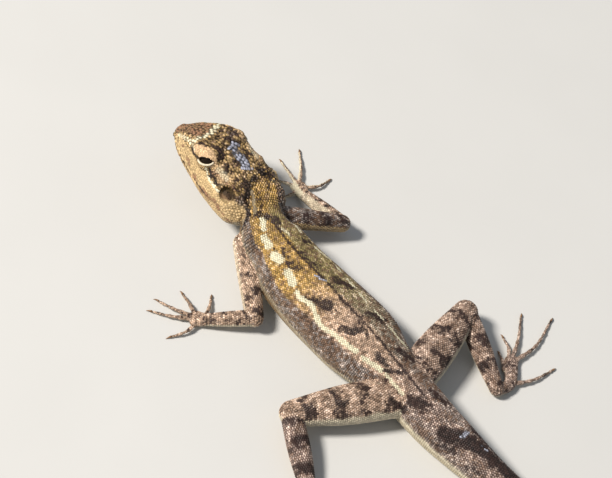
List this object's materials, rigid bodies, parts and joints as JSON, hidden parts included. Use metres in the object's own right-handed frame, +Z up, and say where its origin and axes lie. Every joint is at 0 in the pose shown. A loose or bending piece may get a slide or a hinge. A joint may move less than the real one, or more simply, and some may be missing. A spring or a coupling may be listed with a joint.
{
  "type": "rock agama lizard model",
  "caption": "Life-size still model of a rock agama lizard lying on its belly, head raised and turned, limbs bent and spread, long tail laid in a curve.",
  "frame": {"origin": "on the belly's flat, which rests on the floor, in the middle of the trunk", "axes": "-Y towards the head, +X towards the animal's left, +Z up; the floor is z = 0"},
  "size_m": [0.1175, 0.2622, 0.0196],
  "materials": {
    "skin": "scaly skin, satin",
    "eye": "moist, glossy"
  },
  "bodies": {
    "root": {"head": "skin", "lower_jaw": "skin", "eye_left": "eye", "eye_right": "eye", "neck": "skin", "torso": "skin", "tail_base": "skin", "tail_front": "skin", "tail_rear": "skin", "tail_tip": "skin", "upper_arm_left": "skin", "forearm_left": "skin", "hand_left": "skin", "thigh_left": "skin", "shank_left": "skin", "foot_left": "skin", "upper_arm_right": "skin", "forearm_right": "skin", "hand_right": "skin", "thigh_right": "skin", "shank_right": "skin", "foot_right": "skin"}
  },
  "joints": []
}
